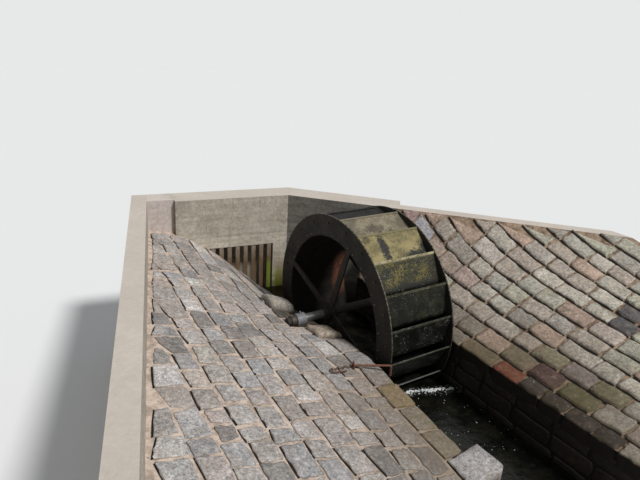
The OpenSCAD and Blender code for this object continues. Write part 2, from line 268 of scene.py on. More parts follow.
def stone_material(name, wet=0.0, moss=0.0, dirt=0.5):
    """Weathered granite and sandstone: the tint is each stone's own colour, and its height
    goes from 1 on top to -1 in the open joint beside the stone, which is painted near black
    as dirt and painted shade."""
    s = Shader(name, roughness=0.86, specular=0.2)
    x, y = s.parts()[:2]
    s.colour, lift = s.tint()
    depth = s.step(s.parts(s.colour)[1], 0.03, 0.25, 0.35, 1.0)
    cloud = s.noise(5.0, 5.0, 0.6)
    mottle = s.noise(27.0, 6.0, 0.72)
    layers = s.noise(30.0, 5.0, 0.7, s.stretch(0.55, 1.0, 1.6))
    grain = s.noise(80.0, 4.0, 0.75)
    s.mottle(cloud, 0.15, 0.84, 1.14)
    s.mottle(mottle, 0.12, 0.70, 1.30)
    s.mottle(layers, 0.12, 0.84, 1.16)
    s.mottle(grain, 0.16, 0.62, 1.38)
    # Warm clouds, pale lichen, dark spots, and darkening towards each stone's edges and down its sides
    s.cover((158, 136, 118), s.step(s.noise(9.0, 4.0, 0.6), 0.52, 0.68, 0.0, 0.30))
    s.cover((196, 190, 178), s.step(s.noise(21.0, 6.0, 0.7), 0.60, 0.68, 0.0, 0.5))
    spots = s.step(s.noise(48.0, 4.0, 0.8), 0.58, 0.64)
    s.cover((52, 50, 52), spots, s.step(s.noise(2.3, 2.0), 0.43, 0.58), 0.75)
    s.cover((84, 72, 60), s.step(lift, 0.8, 0.15), s.step(s.noise(11.0, 3.0), 0.25, 0.7, 0.35, 0.95))
    s.cover(s.shade((96, 82, 66), depth), s.beside_race(), dirt)
    near_edge = s.step(s.away(x), 0.98, 0.62)
    near_foot = s.step(y, -0.85, -1.35)
    patches = s.step(s.noise(13.0, 6.0, 0.75), 0.47, 0.57)
    growth = s.blend(s.step(s.noise(17.0, 4.0), 0.42, 0.58), (128, 104, 62), (84, 88, 46))
    s.cover(s.shade(growth, depth), near_edge, near_foot, patches, s.step(lift, 1.0, 0.7, 0.5, 1.0), moss)
    # The open joints and the damp sides under the coping are painted near black: dirt and damp, with
    # painted shade in the joints
    open_joint = s.step(lift, 0.05, -0.35)
    s.cover((26, 21, 17), open_joint)
    s.colour = s.shade(s.colour, 1.0 - 0.8 * wet)
    s.bump(mottle, 0.007, 0.8)
    s.bump(layers, 0.004, 0.7)
    s.bump(grain, 0.0014, 0.7)
    return s.finish(s.step(cloud, 0.3, 0.7, 0.9 - 0.4 * wet, 0.76 - 0.36 * wet))


def bedding_material(name, mortar, joint):
    """Mortar between the setts, and coursed rubble on the upright outer faces."""
    s = Shader(name, roughness=0.92, specular=0.15)
    x = s.parts()[0]
    nz = s.facing()[2]
    sand = s.noise(60.0, 6.0, 0.7)
    holes = s.step(s.noise(30.0, 4.0, 0.7), 0.60, 0.66)
    s.colour = s.blend(s.step(s.noise(11.0, 5.0, 0.66), 0.42, 0.60), mortar, joint)
    s.mottle(sand, 0.25, 0.72, 1.2)
    s.cover((70, 60, 50), holes, 0.7)
    s.cover((106, 92, 72), s.beside_race(), 0.6)
    top = s.colour
    gaps, block = s.courses(length=0.44, height=0.21, joint=0.012)
    s.colour = s.blend(block, (124, 116, 108), (156, 142, 128))
    s.mottle(s.noise(9.0, 6.0, 0.65), 0.2, 0.72, 1.22)
    s.mottle(s.noise(30.0, 5.0, 0.7), 0.18, 0.8, 1.18)
    s.cover((150, 138, 122), gaps)
    # Inside the pit the faces are painted near black: wet, and painted shade of the pit
    inside = s.calc("LESS_THAN", s.away(x), PIT_HALF + WITHIN)
    s.cover((22, 21, 18), inside)
    upright = s.calc("LESS_THAN", s.away(nz), 0.3)
    s.colour = s.blend(upright, top, s.colour)
    s.bump(s.times(s.calc("SUBTRACT", 1.0, gaps), upright), 0.012, 0.8)
    s.bump(sand, 0.004, 0.6)
    return s.finish()


def concrete_material(name, base, dark, stains=0.0, damp=0.0, outside=None):
    """Cast concrete with the marks of its boards, weathered from the top. outside is the pair
    of colours away from the pit, where they differ from base and dark. stains adds the pink
    pier, the ledge over the grate and the growth under it, and damp the wet foot."""
    s = Shader(name, roughness=0.88, specular=0.2)
    x, z = s.parts()[::2]
    nz = s.facing()[2]
    boards = s.noise(5.0, 3.0, 0.6, s.stretch(0.3, 0.3, 2.2))
    runs = s.noise(9.0, 5.0, 0.7, s.stretch(1.0, 1.0, 0.12))
    fine = s.noise(60.0, 5.0, 0.7)
    mottle = s.noise(19.0, 6.0, 0.72)
    pits = s.step(s.cells(24.0), 0.09, 0.03)
    front = s.towards_pit() if outside or stains or damp else None
    board_tone = s.step(boards, 0.35, 0.7)
    s.colour = s.blend(board_tone, base, dark)
    # With outside given, the faces towards the pit keep the darker base and dark colours as painted shade,
    # and the others take the pale pair
    if outside:
        inner_face = s.times(front, s.step(nz, 0.9, 0.6))
        s.colour = s.blend(inner_face, s.blend(board_tone, *outside), s.colour)
    s.mottle(s.noise(2.6, 5.0, 0.62), 0.2, 0.84, 1.12)
    s.mottle(mottle, 0.14, 0.80, 1.16)
    s.mottle(fine, 0.16, 0.80, 1.18)
    s.cover((98, 94, 78), s.step(runs, 0.55, 0.72), 0.4)
    s.cover((92, 86, 78), pits, 0.6)
    if stains:
        pier = s.calc("LESS_THAN", x, PIER_RIGHT_X)
        s.cover(s.blend(s.step(mottle, 0.4, 0.62), (202, 191, 184), (180, 169, 162)), pier)
        s.cover((88, 90, 66), s.step(s.away(x, PIER_RIGHT_X), 0.10, 0.02), s.step(runs, 0.40, 0.56), 0.7)
        right_of_pier = s.step(x, PIER_RIGHT_X, PIER_RIGHT_X + 0.02)
        lintel = s.step(z, LEDGE_Z + 0.015, LEDGE_Z - 0.005)
        ledge = s.step(s.away(z, LEDGE_Z), 0.012, 0.004)
        for zone, level in ((lintel, 1.08), (ledge, 0.78)):
            s.colour = s.shade(s.colour, s.step(s.times(zone, right_of_pier), 0.0, 1.0, 1.0, level))
        corner = s.times(s.step(x, -0.42, -0.2), s.times(s.step(z, 1.5, 1.0), front))
        s.cover((112, 88, 56), corner, s.step(runs, 0.35, 0.5))
        moss = s.step(s.noise(7.0, 5.0, 0.7), 0.40, 0.52)
        s.cover((112, 124, 34), s.step(z, 1.30, 1.02), moss, front, stains)
    if damp:
        s.cover((32, 30, 25), s.step(z, 1.15, 0.80), damp, front)
    # Faces that look up are painted paler: a pale weathered top, and painted light on the tops
    s.cover((204, 193, 182), s.step(nz, 0.6, 0.9), 0.65)
    seams = s.calc("PINGPONG", s.calc("ADD", z, s.step(boards, 0.0, 1.0, 0.0, 0.02)), 0.075)
    s.bump(s.step(seams, 0.0, 0.006), 0.0025, 0.4)
    s.bump(mottle, 0.004, 0.5)
    s.bump(s.calc("SUBTRACT", 1.0, pits), 0.003, 0.6)
    s.bump(fine, 0.002, 0.6)
    return s.finish()


def dark_iron_material(name, base, worn, wet=0.0, edge_from=None):
    """Old iron of the wheel and the bearing beds: brown-black, blistered, and with a pale edge
    past the radius edge_from, where that is given: worn, and a painted highlight on the ring's upper part."""
    s = Shader(name, roughness=0.6, specular=0.25)
    cloud = s.noise(6.0, 5.0, 0.65)
    blister = s.noise(46.0, 5.0, 0.7)
    s.colour = s.blend(s.step(cloud, 0.35, 0.7), base, worn)
    s.mottle(blister, 0.2, 0.65, 1.4)
    rust = s.step(s.noise(14.0, 6.0, 0.72), 0.58, 0.72)
    s.cover((70, 50, 34), rust, 0.4)
    if edge_from:
        z = s.parts()[2]
        radius = s.radius()
        # The pale edge shows only on the upper part of the ring: wear, and a painted highlight where light
        # catches the rim
        s.cover((110, 104, 86), s.step(radius, edge_from, WHEEL_R - 0.004), s.step(z, 1.2, 1.9),
                s.step(blister, 0.44, 0.58))
        # Painted glints: white specks of light on drops near the rim
        drops = s.step(s.noise(100.0, 3.0, 0.7), 0.66, 0.70)
        s.cover((150, 150, 144), drops, s.step(radius, 0.98, 1.1), 0.7)
    s.bump(blister, 0.0022, 0.7)
    s.bump(cloud, 0.004, 0.4)
    return s.finish(s.step(cloud, 0.3, 0.7, 0.7 - 0.3 * wet, 0.5 - 0.2 * wet))


def sole_material():
    """The drum: black and wet, with flaking orange-brown rust shown on one part of its inner face only,
    where sunlight falls in: real rust, placed as a painted pool of light.
    """
    s = Shader("sole_rust", roughness=0.85, specular=0.15)
    flake = s.noise(9.0, 6.0, 0.7)
    fine = s.noise(50.0, 5.0, 0.7)
    x, y, z = s.parts()
    inner = s.step(s.radius(), SOLE_IN + 0.006, SOLE_IN + 0.003)
    height = s.away(z, AXLE.z + 0.02)
    # The rust shows only in the patch where sunlight falls in through the far ring: a painted pool of light
    zone = s.times(s.step(y, 0.80, 0.90), s.step(height, 0.36, 0.16), s.step(x, 0.20, 0.30))
    s.colour = s.blend(s.step(flake, 0.4, 0.65), (18, 17, 15), (36, 31, 26))
    rust = s.blend(s.step(fine, 0.4, 0.66), (92, 56, 41), (120, 80, 60))
    s.cover(rust, inner, zone, s.step(flake, 0.30, 0.48))
    s.bump(flake, 0.004, 0.8)
    s.bump(fine, 0.0015, 0.7)
    return s.finish()


def bucket_material(name, dry, dark, growth, cover, wet, lip, marks=(), bar_from=1.180, ends=1.0,
                    specks=0.4):
    """Bucket plates: lichen and scum over dark iron. cover is the share that the growth hides,
    lip the colour of the stiffening bar, which starts at the radius bar_from. marks are dark,
    wet spots seen on the plate at rest: (x, y, half width, half height, strength). ends darkens
    the plate beside the rings, as painted shade of the rings, and specks is the share of fine
    grain in the outline of spots. wet makes the plate glossier and adds painted glints."""
    s = Shader(name, roughness=0.7, specular=0.25)
    patch = s.noise(13.0, 6.0, 0.72)
    fine = s.noise(60.0, 5.0, 0.75)
    s.colour = s.blend(s.step(s.noise(4.4, 5.0, 0.66), 0.42, 0.58), dry, growth)
    s.mottle(patch, 0.14, 0.74, 1.18)
    s.mottle(fine, 0.16, 0.70, 1.26)
    bare = s.calc("ADD", s.times(patch, 1.0 - specks), s.times(fine, specks))
    shown = s.step(bare, cover - 0.05, cover + 0.04)
    x, y = s.parts()[:2]
    for mark_x, mark_y, across, down, strength in marks:
        side = s.calc("DIVIDE", s.calc("SUBTRACT", x, mark_x), across)
        rise = s.calc("DIVIDE", s.calc("SUBTRACT", y, mark_y), down)
        away = s.calc("ADD", s.length(side, rise), s.step(bare, 0.36, 0.64, -0.8, 0.8))
        shown = s.calc("MAXIMUM", shown, s.times(s.step(away, 1.15, 0.80), strength))
    # Painted shade of the rings on the plate's ends, broken by the patch noise
    end = s.times(s.step(s.away(x), 0.37, WHEEL_HALF), s.step(patch, 0.38, 0.56, 0.0, ends))
    shown = s.calc("MAXIMUM", shown, end)
    s.cover(s.mottled(dark, fine, 0.16, 0.5, 1.7), shown)
    s.cover(lip, s.step(s.radius(), bar_from, bar_from + 0.006), s.step(patch, 0.42, 0.54, 0.25, 1.0))
    if wet:
        # Painted glints: white specks of light on the wet plate
        drops = s.step(s.noise(80.0, 3.0, 0.75), 0.62, 0.66)
        s.cover((190, 194, 190), drops, s.step(s.noise(7.0, 4.0, 0.7), 0.46, 0.54), wet)
    s.bump(patch, 0.003, 0.5)
    s.bump(fine, 0.0018, 0.7)
    return s.finish(s.step(shown, 0.0, 1.0, 0.86 - 0.3 * wet, 0.6 - 0.25 * wet))


def metal_material(name, base, worn, roughness, metallic, rust, bright_span=None):
    """Turned or painted metal with scuffs and rust.
    The pair after rust is the part of the length, from and to in x either side, that stays bright;
    elsewhere the metal is painted black, as wet iron with painted shade inside the wheel."""
    s = Shader(name, roughness=roughness, specular=0.5, metallic=metallic)
    lines = s.noise(70.0, 4.0, 0.6, s.stretch(0.06, 1.0, 1.0))
    patch = s.noise(22.0, 6.0, 0.7)
    s.colour = s.blend(s.step(patch, 0.45, 0.65), base, worn)
    s.mottle(lines, 0.2, 0.85, 1.12)
    s.cover((112, 62, 38), s.step(s.noise(34.0, 6.0, 0.75), 0.5, 0.62), rust)
    rough = s.step(patch, 0.3, 0.7, roughness - 0.08, roughness + 0.15)
    if bright_span:
        reach = s.away(s.parts()[0])
        wet_and_shaded = s.calc("MAXIMUM", s.step(reach, bright_span[0] + 0.02, bright_span[0]),
                      s.step(reach, bright_span[1], bright_span[1] + 0.01))
        # Outside the bright part the shaft is painted black: wet iron, and painted shade inside the wheel
        s.cover((38, 34, 30), wet_and_shaded)
        rough = s.calc("MAXIMUM", rough, s.times(wet_and_shaded, 0.8))
        s.put(s.surface.inputs["Metallic"], s.step(wet_and_shaded, 0.0, 1.0, metallic, 0.0))
    s.bump(patch, 0.0008, 0.6)
    s.bump(lines, 0.0004, 0.4)
    return s.finish(rough)


def bar_material():
    """Bars of the sluice: pale and chalky above, brown below, green where the last one drips."""
    s = Shader("bar_iron", roughness=0.8, specular=0.2)
    x, z = s.parts()[::2]
    streak = s.noise(60.0, 5.0, 0.7, s.stretch(1.0, 1.0, 0.15))
    patch = s.noise(26.0, 6.0, 0.7)
    s.colour = s.blend(s.step(z, 1.70, 1.35), (152, 145, 130), (104, 84, 62))
    s.mottle(streak, 0.14, 0.7, 1.25)
    s.cover((104, 66, 44), s.step(patch, 0.52, 0.62), 0.7)
    s.cover((112, 126, 38), s.step(z, 1.38, 1.26), s.step(x, LAST_BAR_X - 0.05, LAST_BAR_X - 0.04),
            s.step(patch, 0.40, 0.52, 0.35, 0.95))
    s.bump(patch, 0.002, 0.6)
    return s.finish()


def water_material():
    """Nearly black water with a slight ripple, and froth where the buckets empty."""
    s = Shader("dark_water", roughness=0.12, specular=0.3)
    x, y = s.parts()[:2]
    churn = s.noise(34.0, 6.0, 0.75, s.stretch(1.0, 0.6, 1.0))
    line = s.calc("ADD", y, s.times(s.calc("MAXIMUM", x, 0.0), FROTH_SLANT))
    foam = s.times(s.step(line, -1.21, -1.12), s.step(line, -1.03, -1.08), s.step(churn, 0.54, 0.62))
    flecks = s.times(s.step(y, -2.3, -1.3), s.step(s.noise(120.0, 4.0, 0.7), 0.69, 0.74))
    white = s.calc("MAXIMUM", foam, s.times(flecks, 0.6))
    s.colour = s.blend(s.step(s.noise(5.0, 4.0, 0.6), 0.4, 0.7), (9, 9, 7), (26, 25, 18))
    # Lighter strokes on the ripples: painted sheen of light on the water
    strokes = s.noise(26.0, 5.0, 0.7, s.stretch(0.35, 1.0, 1.0))
    s.cover((44, 46, 38), s.step(strokes, 0.54, 0.70, 0.0, 0.55))
    s.cover((196, 198, 192), white)
    s.bump(s.noise(20.0, 4.0, 0.6, s.stretch(0.6, 1.0, 1.0)), 0.012, 0.6)
    s.bump(churn, 0.004, 0.5)
    return s.finish(s.step(white, 0.0, 1.0, 0.12, 0.75))


def foam_material():
    """Froth and thrown drops."""
    s = Shader("white_froth", roughness=0.35, specular=0.5)
    s.colour = s.blend(s.noise(60.0, 4.0, 0.6), (178, 182, 180), (236, 238, 236))
    s.bump(s.noise(160.0, 4.0, 0.7), 0.002, 0.8)
    return s.finish()


def new_object(name, data):
    thing = bpy.data.objects.new(name, data)
    bpy.context.scene.collection.objects.link(thing)
    return thing


class Pile:
    """Many small forms gathered into one mesh, each with its own tint."""

    def __init__(self, name):
        self.name = name
        self.points, self.faces, self.tints = [], [], []

    def add(self, points, faces, tint=(1.0, 1.0, 1.0, 1.0), lifts=None):
        base = len(self.points)
        self.points += points
        self.faces += [[base + i for i in face] for face in faces]
        lifts = lifts or [1.0] * len(points)
        self.tints += [tint[:3] + (0.5 + 0.5 * lift,) for lift in lifts]

    def build(self, material, body="wheel_pit", smooth=True):
        mesh = bpy.data.meshes.new(self.name)
        mesh.from_pydata([tuple(p) for p in self.points], [], self.faces)
        layer = mesh.color_attributes.new("tint", "FLOAT_COLOR", "POINT")
        for item, tint in zip(layer.data, self.tints):
            item.color = tint
        mesh.polygons.foreach_set("use_smooth", [smooth] * len(mesh.polygons))
        mesh.materials.append(material)
        mesh.validate()
        piece = new_object(self.name, mesh)
        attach(piece, body)


def grid_faces(columns, rows, base=0):
    """The faces between points that are laid row by row."""
    starts = [base + j * columns + i for j in range(rows - 1) for i in range(columns - 1)]
    return [[k, k + 1, k + columns + 1, k + columns] for k in starts]


STEPS = [-1.0, -0.94, -0.84, -0.6, -0.2, 0.2, 0.6, 0.84, 0.94, 1.0]


class Stone:
    """Lays dressed stones on a surface: place(u, v, height) gives a point in space."""

    def __init__(self, place, dice, rounding, lump, sink=0.004, skirt=0.03, corner=0.07, edge_darkening=1.0):
        self.place, self.dice, self.edge_darkening = place, dice, edge_darkening
        self.rounding, self.sink, self.skirt, self.lump, self.corner = rounding, sink, skirt, lump, corner

    def lay(self, pile, corners, proud, crown, tilt, tint, skirt=None, gap=0.0, dark_side=0, closed=False):
        """corners run (u0,v0), (u1,v0), (u1,v1), (u0,v1). tilt raises the stone towards u0.
        gap is the width of the open joint beside the u0 edge, whose bottom is painted black as dirt
        and painted shade. dark_side is -1 or 1 where the skirt below the u0 or u1 edge is painted
        black, as damp and painted shade. closed gives the stone an underside."""
        a, b, c, d = corners
        half_u = max(0.02, ((b - a).length + (c - d).length) / 4)
        half_v = max(0.02, ((d - a).length + (c - b).length) / 4)
        seed = self.dice.uniform(0, 900)
        points, lifts = [], []

        def rise(share, half):
            near = min((1 - abs(share)) * half / self.rounding, 1.0)
            return math.sqrt(max(0.0, 1 - (1 - near) ** 2))

        def spot_at(s, t):
            low, high = a.lerp(b, (s + 1) / 2), d.lerp(c, (s + 1) / 2)
            return low.lerp(high, (t + 1) / 2)

        for t in STEPS:
            for s in STEPS:
                pull = 1 - self.corner * (abs(s) * abs(t)) ** 5
                ragged = 0.018 * noise.noise(Vector((s * 2.1 + seed, t * 2.1, seed)))
                ragged += 0.010 * noise.noise(Vector((s * 5.1, t * 5.1 + seed, seed)))
                spot = spot_at(s * pull * (1 + ragged / half_u), t * pull * (1 + ragged / half_v))
                edge = rise(s, half_u) * rise(t, half_v)
                bend = noise.noise(Vector((spot.x * 9, spot.y * 9, seed))) * self.lump
                bend += noise.noise(Vector((spot.x * 26, spot.y * 26, seed))) * self.lump * 0.4
                height = (proud + self.sink) * edge - self.sink
                height += edge * (crown * (1 - s * s) * (1 - t * t) - tilt * s + bend)
                by_gap = gap and s == -1.0
                points.append(self.place(spot.x, spot.y, 0.004 if by_gap else height))
                # Heights below 0 mark the open joint and the dark side, which the stone's material paints
                # black as dirt, damp and painted shade
                lifts.append(-0.6 if s == dark_side else (-0.4 if by_gap else edge ** self.edge_darkening))
        n = len(STEPS)
        faces = grid_faces(n, n)
        rim = ([i for i in range(n)] + [j * n + n - 1 for j in range(1, n)]
               + [(n - 1) * n + i for i in range(n - 2, -1, -1)] + [j * n for j in range(n - 2, 0, -1)])
        base = len(points)
        for index in rim:
            t, s = STEPS[index // n], STEPS[index % n]
            spot = spot_at(s, t)
            drop = -(self.skirt if skirt is None else skirt)
            by_gap = gap and s == -1.0
            if by_gap:
                outward = (a - b).normalized() * gap * (1 - 0.35 * abs(t))
                spot, drop = spot + outward, 0.005
            points.append(self.place(spot.x, spot.y, drop))
            # Skirt feet by the gap and on the dark side are marked -1 and painted black as dirt, damp and
            # painted shade
            lifts.append(-1.0 if s == dark_side or by_gap else 0.0)
        for k in range(len(rim)):
            m = (k + 1) % len(rim)
            faces.append([rim[m], rim[k], base + k, base + m])
        if closed:
            faces.append([base + k for k in reversed(range(len(rim)))])
        pile.add(points, faces, tint, lifts)


def surface_under(names):
    """Height of the model's upper surface at a plan point."""
    points, faces = [], []
    for name in names:
        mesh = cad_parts[name].data
        base = len(points)
        points += [v.co.copy() for v in mesh.vertices]
        faces += [[base + i for i in p.vertices] for p in mesh.polygons]
    tree = BVHTree.FromPolygons(points, faces)

    def height(x, y):
        x = math.copysign(max(abs(x), PIT_HALF + WITHIN), x)
        y = max(y, -RACE_END + WITHIN)
        for nudge in (0.0, WITHIN, -WITHIN):
            hit = tree.ray_cast(Vector((x + nudge, y, 5.0)), -UP)[0]
            if hit is not None:
                return hit.z
        return tree.find_nearest(Vector((x, y, 1.6)))[0].z
    return height


def on_bank(side):
    """Gives the call that puts a plan point on a bank, lifted off it, inside the model's box."""
    height = surface_under([side + "_pit_wall", side + "_bank"])
    low, high = cad_box

    def place(x, y, lift):
        x = min(max(x, low[0] + EDGE), high[0] - EDGE)
        y = min(max(y, low[1] + EDGE), high[1] - EDGE)
        return Vector((x, y, height(x, y) + lift))
    return place


LEFT_TINTS = [(166, 160, 155), (156, 153, 151), (168, 158, 151), (164, 158, 151), (144, 140, 137),
              (178, 173, 167), (158, 151, 146), (134, 129, 125), (162, 156, 151), (154, 146, 140)]
RIGHT_TINTS = [(162, 155, 143), (155, 152, 136), (160, 149, 137), (174, 167, 154), (148, 143, 133),
               (154, 143, 132), (160, 156, 144), (144, 136, 127), (160, 153, 143), (162, 142, 126)]
WALL_TINTS = [(82, 76, 68), (70, 66, 60), (88, 80, 70)]

# Stones that stand out in the photograph: place in plan, reach, colour
MARKED = [
    (0.62, 0.72, 0.20, (154, 136, 124)),
    (0.62, 0.33, 0.20, (158, 152, 154)),
    (0.62, -0.06, 0.20, (168, 138, 126)),
    (1.23, 0.63, 0.08, (160, 136, 130)),
    (1.29, 0.37, 0.08, (155, 153, 155)),
    (1.29, 0.09, 0.08, (160, 143, 131)),
    (1.29, -0.20, 0.08, (152, 137, 124)),
    (1.30, -0.51, 0.08, (158, 140, 131)),
    (0.62, -0.75, 0.42, (128, 120, 108)),
    (0.62, -1.45, 0.20, (118, 106, 86)),
    (0.62, -1.85, 0.16, (136, 72, 54)),
    (0.62, -2.15, 0.13, (64, 58, 55)),
    (0.62, -2.41, 0.12, (58, 54, 50)),
    (0.62, -2.75, 0.22, (56, 52, 48)),
    (0.82, -1.79, 0.15, (122, 112, 92)),
    (0.82, -2.13, 0.15, (94, 68, 66)),
    (0.82, -2.50, 0.18, (98, 97, 66)),
    (1.07, -1.98, 0.15, (128, 122, 100)),
    (1.07, -2.32, 0.15, (132, 122, 116)),
    (1.07, -2.64, 0.15, (114, 110, 84)),
    (1.90, -2.08, 0.13, (84, 82, 82)),
    (2.15, -2.20, 0.13, (92, 88, 86)),
    (-2.64, -1.10, 0.12, (186, 181, 178)),
    (-0.63, -2.55, 0.12, (160, 155, 152)),
    (-0.67, -0.30, 0.10, (160, 146, 132)),
    (-0.67, 0.21, 0.06, (48, 44, 39)),
    (-0.67, 0.46, 0.10, (48, 44, 39)),
    (-0.92, 0.22, 0.10, (80, 75, 68)),
    (-0.67, -1.58, 0.16, (160, 141, 112)),
    (-0.67, -1.90, 0.14, (156, 148, 138)),
    (-0.67, -2.18, 0.14, (150, 143, 130)),
]

# Joints of the coping along the left pit edge, from the tail race to the headwall, and where its
# own kinds of stone start: the loose block, the rounded stone and the two low ones by the bearing
BLOCK_FROM = -2.705
ROUNDED_FROM = -0.47
LOW_FROM = (SLOT_HALF, 0.29)
LEFT_COPING = [-3.312, -3.0, BLOCK_FROM, -2.39, -2.05, -1.74, -1.42, -1.12, -0.82, ROUNDED_FROM,
               -SLOT_HALF, *LOW_FROM, 0.64, 0.94, 1.23, 1.52]
# Joints of the three rows next to the right pit edge, downstream of the wheel
RIGHT_BREAKS = [[-2.83, -2.54, -2.28, -2.017, -1.675, -1.222], [-2.69, -2.31, -1.964, -1.617],
                [-2.82, -2.50, -2.16, -1.82]]
# The rounded stone that stands by itself upstream of the left bearing
BOULDER = [(-1.01, 0.37), (-0.69, 0.36), (-0.67, 0.65), (-1.02, 0.67)]


def vary(tint, dice, spread):
    level = dice.uniform(1 - spread, 1 + spread)
    return tuple(min(1.0, c * level * dice.uniform(0.99, 1.01)) for c in rgb(*tint)[:3]) + (1.0,)


def pick_tint(tints, corners, dice, spread):
    middle = sum(corners, Vector((0, 0))) / 4
    for x, y, reach, colour in MARKED:
        if (middle - Vector((x, y))).length < reach:
            return rgb(*colour)
    return vary(dice.choice(tints), dice, spread)


def lengths(start, end, low, high, dice, breaks=()):
    """Cuts a course into stones, with a joint at every break."""
    stops = [start] + sorted(b for b in breaks if start + 0.05 < b < end - 0.05) + [end]
    for first, last in zip(stops, stops[1:]):
        at = first
        while last - at > 1e-6:
            length = dice.uniform(low, high)
            if last - (at + length) < low * 0.6:
                length = last - at
            yield at, at + length
            at += length


def around(u0, u1, v0, v1):
    """A stone's corners, each with the directions in u and v that lead into the stone."""
    return (u0, v0, 1, 1), (u1, v0, -1, 1), (u1, v1, -1, -1), (u0, v1, 1, -1)


def widths(corners):
    a, b, c, d = corners
    return (b - a).length, (c - d).length


def in_slot(y0, y1):
    return y0 >= -SLOT_HALF - 0.01 and y1 <= SLOT_HALF + 0.01


def left_setts():
    """Setts of the left bank, laid in courses along the pit, with larger coping stones."""
    dice = random.Random(11)
    place = on_bank("left")
    stone = Stone(place, dice, rounding=0.011, lump=0.006, corner=0.05)
    boulder = Stone(place, dice, rounding=0.038, lump=0.012, corner=0.08, edge_darkening=0.25)
    block = Stone(place, dice, rounding=0.014, lump=0.009, corner=0.03)
    pile, block_pile = Pile("left_setts"), Pile("left_block")
    lines = [-PIT_HALF + OVERHANG, -0.80, -PIT_OUTER]
    while lines[-1] > left_kerb_x(-RACE_END):
        lines.append(lines[-1] - dice.uniform(0.18, 0.25))
    for row, (inner, outer) in enumerate(zip(lines, lines[1:])):
        slot = SLOT if outer > -PIT_OUTER - 0.01 else ()
        top = head_line(inner) - WALL_JOINT
        if row == 0:
            joints = LEFT_COPING + [top]
            spans = list(zip(joints, joints[1:]))
        else:
            spans = lengths(-RACE_END + END_JOINT + dice.uniform(0, 0.1), top, 0.17, 0.36, dice, slot)
        for y0, y1 in spans:
            if slot and in_slot(y0, y1):
                continue
            joint = dice.uniform(0.006, 0.014)
            corners = []
            for x, y, ux, vy in around(outer, inner, y0, y1):
                limit = left_kerb_x(y) + 0.055
                x = x + ux * joint
                if x - limit < 0.09:
                    x = limit
                y = min(y, head_line(x) - 0.010)
                edge = row == 0 and ux < 0
                x += 0 if edge else dice.uniform(-0.016, 0.016)
                corners.append(Vector((x, y + vy * joint + dice.uniform(-0.018, 0.018) * (row > 0))))
            if min(widths(corners)) < 0.05 and max(widths(corners)) < 0.1:
                continue
            tint = pick_tint(LEFT_TINTS, corners, dice, 0.14)
            gap = dice.choice([0.0, 0.0, 0.006, 0.010, 0.014]) if row else 0.012
            if row == 0:
                proud, tilt, kind, home = dice.uniform(0.012, 0.03), -0.002, stone, pile
                if y0 == ROUNDED_FROM:
                    proud, kind = 0.070, boulder
                    corners[0].x, corners[3].x = -0.86, -0.84
                elif y0 in LOW_FROM:
                    proud = 0.004
                elif y0 == BLOCK_FROM:
                    proud, tilt, kind, home = 0.085, -0.062, block, block_pile
                    corners[1].x, corners[2].x = -0.43, -0.46
                kind.lay(home, corners, proud, 0.008, tilt, tint, DEEP_SKIRT, gap, 1, closed=kind is block)
            else:
                stone.lay(pile, corners, dice.uniform(0.006, 0.014), dice.uniform(0.000, 0.005),
                          dice.uniform(0.001, 0.009), tint, gap=gap)
    corners = [Vector(spot) for spot in BOULDER]
    boulder.lay(pile, corners, 0.115, 0.012, -0.004, rgb(154, 148, 138), DEEP_SKIRT)
    block_pile.build(stone_material("block_stone", moss=0.1, dirt=0.0))
    pile.build(stone_material("left_sett_stone", moss=0.75, dirt=0.62))


def right_setts():
    """Setts of the right bank, each standing proud towards the pit, with open joints there."""
    dice = random.Random(29)
    stone = Stone(on_bank("right"), dice, rounding=0.017, lump=0.008, corner=0.06)
    pile = Pile("right_setts")
    lines = [PIT_HALF - OVERHANG, 0.70, 0.945, 1.175]
    while lines[-1] < RIGHT_LIMIT - 0.1:
        lines.append(lines[-1] + dice.uniform(0.205, 0.25))
    lines[-1] = RIGHT_LIMIT - END_JOINT
    for row, (inner, outer) in enumerate(zip(lines, lines[1:])):
        slot = SLOT if inner < PIT_OUTER else ()
        top = min(RETURN_END_Y, HEAD_Y - inner) - WALL_JOINT
        start = -RACE_END + END_JOINT
        spans = []
        if row < len(RIGHT_BREAKS):
            marks = RIGHT_BREAKS[row]
            stops = [start, (start + marks[0]) / 2] + marks
            spans = list(zip(stops, stops[1:]))
            start = marks[-1]
        spans += list(lengths(start, top, 0.26, 0.42, dice, slot))
        for y0, y1 in spans:
            beside_bed = slot and in_slot(y0, y1)
            if beside_bed and outer <= PIT_OUTER:
                continue
            first = max(inner, PIT_OUTER + 0.004) if beside_bed else inner
            joint = dice.uniform(0.005, 0.010)
            corners = []
            for x, y, ux, vy in around(first, outer, y0, y1):
                x = min(x + ux * joint * (1.6 if ux > 0 and row else 0.4), right_kerb_x(y) - WALL_JOINT)
                x += dice.uniform(-0.007, 0.007) * (row > 0)
                corners.append(Vector((x, y + vy * joint + dice.uniform(-0.012, 0.012))))
            if max(widths(corners)) < 0.07:
                continue
            tint = pick_tint(RIGHT_TINTS, corners, dice, 0.13)
            if row == 0:
                stone.lay(pile, corners, dice.uniform(0.010, 0.022), 0.010, 0.003, tint, DEEP_SKIRT,
                          dark_side=-1)
            else:
                stone.lay(pile, corners, dice.uniform(0.012, 0.022), dice.uniform(0.003, 0.010),
                          dice.uniform(0.008, 0.015), tint, gap=dice.uniform(0.020, 0.030))
    pile.build(stone_material("right_sett_stone", moss=0.45))


